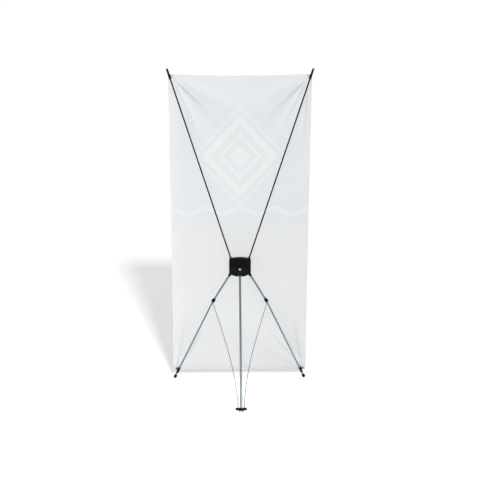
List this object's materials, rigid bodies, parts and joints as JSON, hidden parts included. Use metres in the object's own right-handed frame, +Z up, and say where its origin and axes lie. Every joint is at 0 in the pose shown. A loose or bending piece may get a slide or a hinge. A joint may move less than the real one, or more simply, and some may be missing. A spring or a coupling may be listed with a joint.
{
  "type": "x banner stand",
  "caption": "Folding x-shaped banner stand: a moulded hub with slim poles above and tube legs below, and a printed sheet held at its corners by hooks.",
  "frame": {"origin": "on the floor, at the middle of the stand's plan as it is set up", "axes": "+Z up; the printed side of the sheet faces -Y and the rear leg stands towards +Y; the stand's own left is +X"},
  "size_m": [0.8202, 0.5912, 1.8656],
  "materials": {
    "moulded_black": "moulded nylon, satin black",
    "fibreglass": "pultruded fibreglass rod, black",
    "aluminium": "drawn tube, satin anodised",
    "steel": "nickel-plated",
    "rubber": "matt black",
    "cord": "sheathed wire, grey",
    "sheet": "printed film, satin white back"
  },
  "bodies": {
    "hub": {"hub_rear_shell": "moulded_black", "hub_front_shell": "moulded_black", "centre_rivet": "steel", "left_upper_shell_screw": "steel", "right_upper_shell_screw": "steel", "left_lower_shell_screw": "steel", "right_lower_shell_screw": "steel", "left_pole_pivot_pin": "steel", "right_pole_pivot_pin": "steel", "left_leg_pivot_pin": "steel", "right_leg_pivot_pin": "steel", "rear_leg_pivot_pin": "steel", "banner_sheet": "sheet", "left_stay_cord": "cord", "right_stay_cord": "cord"},
    "left_pole": {"left_pole_knuckle": "moulded_black", "left_pole_rod": "fibreglass", "left_pole_hook_cap": "moulded_black", "left_top_grommet": "steel"},
    "right_pole": {"right_pole_knuckle": "moulded_black", "right_pole_rod": "fibreglass", "right_pole_hook_cap": "moulded_black", "right_top_grommet": "steel"},
    "left_leg": {"left_leg_knuckle": "moulded_black", "left_leg_upper_tube": "aluminium", "left_knee_collar": "moulded_black", "left_leg_lower_tube": "aluminium", "left_hook_sleeve": "moulded_black", "left_foot_cap": "rubber", "left_bottom_grommet": "steel"},
    "right_leg": {"right_leg_knuckle": "moulded_black", "right_leg_upper_tube": "aluminium", "right_knee_collar": "moulded_black", "right_leg_lower_tube": "aluminium", "right_hook_sleeve": "moulded_black", "right_foot_cap": "rubber", "right_bottom_grommet": "steel"},
    "rear_leg": {"rear_leg_knuckle": "steel", "rear_leg_tube": "aluminium", "rear_foot": "moulded_black"}
  },
  "joints": [
    {"name": "left_pole_fold", "type": "hinge", "parent": "hub", "child": "left_pole", "pos_m": [0.0474, -0.12763, 0.75963], "axis": [0, -0.9978, 0.0669], "range_deg": [0, 17.5], "deforming": ["banner_sheet"]},
    {"name": "right_pole_fold", "type": "hinge", "parent": "hub", "child": "right_pole", "pos_m": [-0.0474, -0.12763, 0.75963], "axis": [0, 0.9978, -0.0669], "range_deg": [0, 17.5], "deforming": ["banner_sheet"]},
    {"name": "left_leg_fold", "type": "hinge", "parent": "hub", "child": "left_leg", "pos_m": [0.0497, -0.13736, 0.69048], "axis": [0, 0.9783, -0.207], "range_deg": [0, 28.5], "deforming": ["banner_sheet", "left_stay_cord"]},
    {"name": "right_leg_fold", "type": "hinge", "parent": "hub", "child": "right_leg", "pos_m": [-0.0497, -0.13736, 0.69048], "axis": [0, -0.9783, 0.207], "range_deg": [0, 28.5], "deforming": ["banner_sheet", "right_stay_cord"]},
    {"name": "rear_leg_fold", "type": "hinge", "parent": "hub", "child": "rear_leg", "pos_m": [0, -0.13649, 0.68008], "axis": [-1, 0, 0], "range_deg": [0, 40], "deforming": ["left_stay_cord", "right_stay_cord"]}
  ]
}
